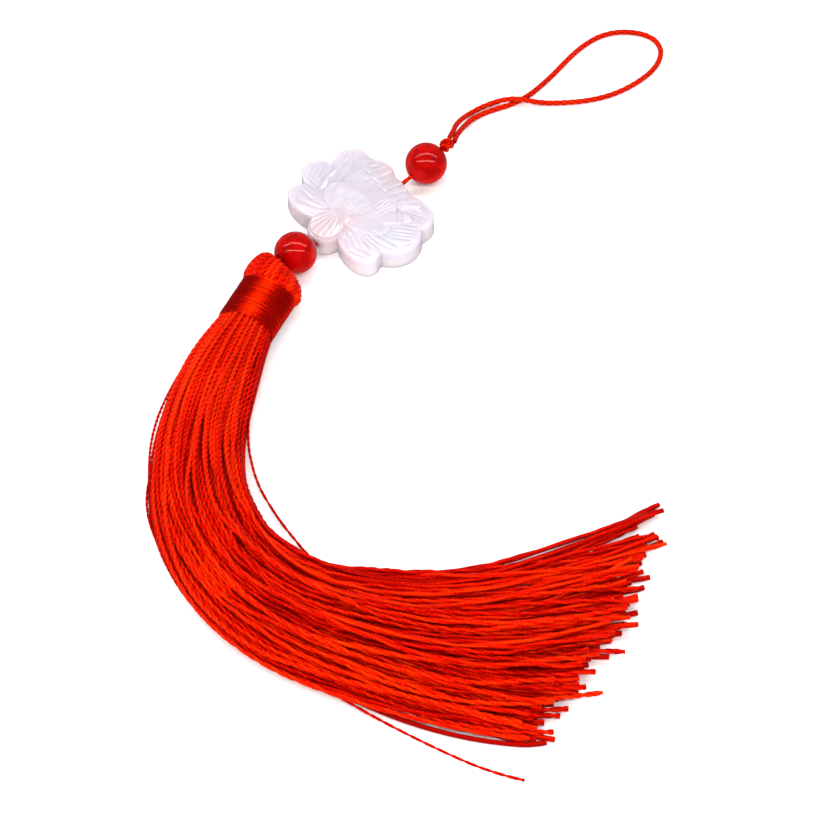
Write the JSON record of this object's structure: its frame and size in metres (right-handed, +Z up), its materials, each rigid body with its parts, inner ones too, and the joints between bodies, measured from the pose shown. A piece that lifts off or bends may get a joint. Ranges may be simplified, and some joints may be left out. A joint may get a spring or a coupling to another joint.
{
  "type": "tassel pendant",
  "caption": "Silk tassel pendant lying flat: hanging loop, round beads, carved flower plaque, wound head and a long fanned skirt of strands.",
  "frame": {"origin": "middle of the plaque's flat underside, on the surface that the pendant lies on", "axes": "+Z up from the surface, +Y along the string from the tassel's head towards the hanging loop, +X to the right of it seen from above"},
  "size_m": [0.1506, 0.1932, 0.0113],
  "materials": {
    "silk_yarn": "silky twisted yarn, bright red",
    "winding_thread": "glossy thread wound close, deep red",
    "cord": "fine braided cord, red",
    "red_bead": "polished, slightly clear red",
    "pale_stone": "polished, milky pink and lavender"
  },
  "bodies": {
    "root": {"hanging_loop": "cord", "top_knot": "cord", "stringing_cord": "cord", "bead_top": "red_bead", "bead_bottom": "red_bead", "flower_plate": "pale_stone", "binding": "winding_thread", "tassel": "silk_yarn"}
  },
  "joints": []
}
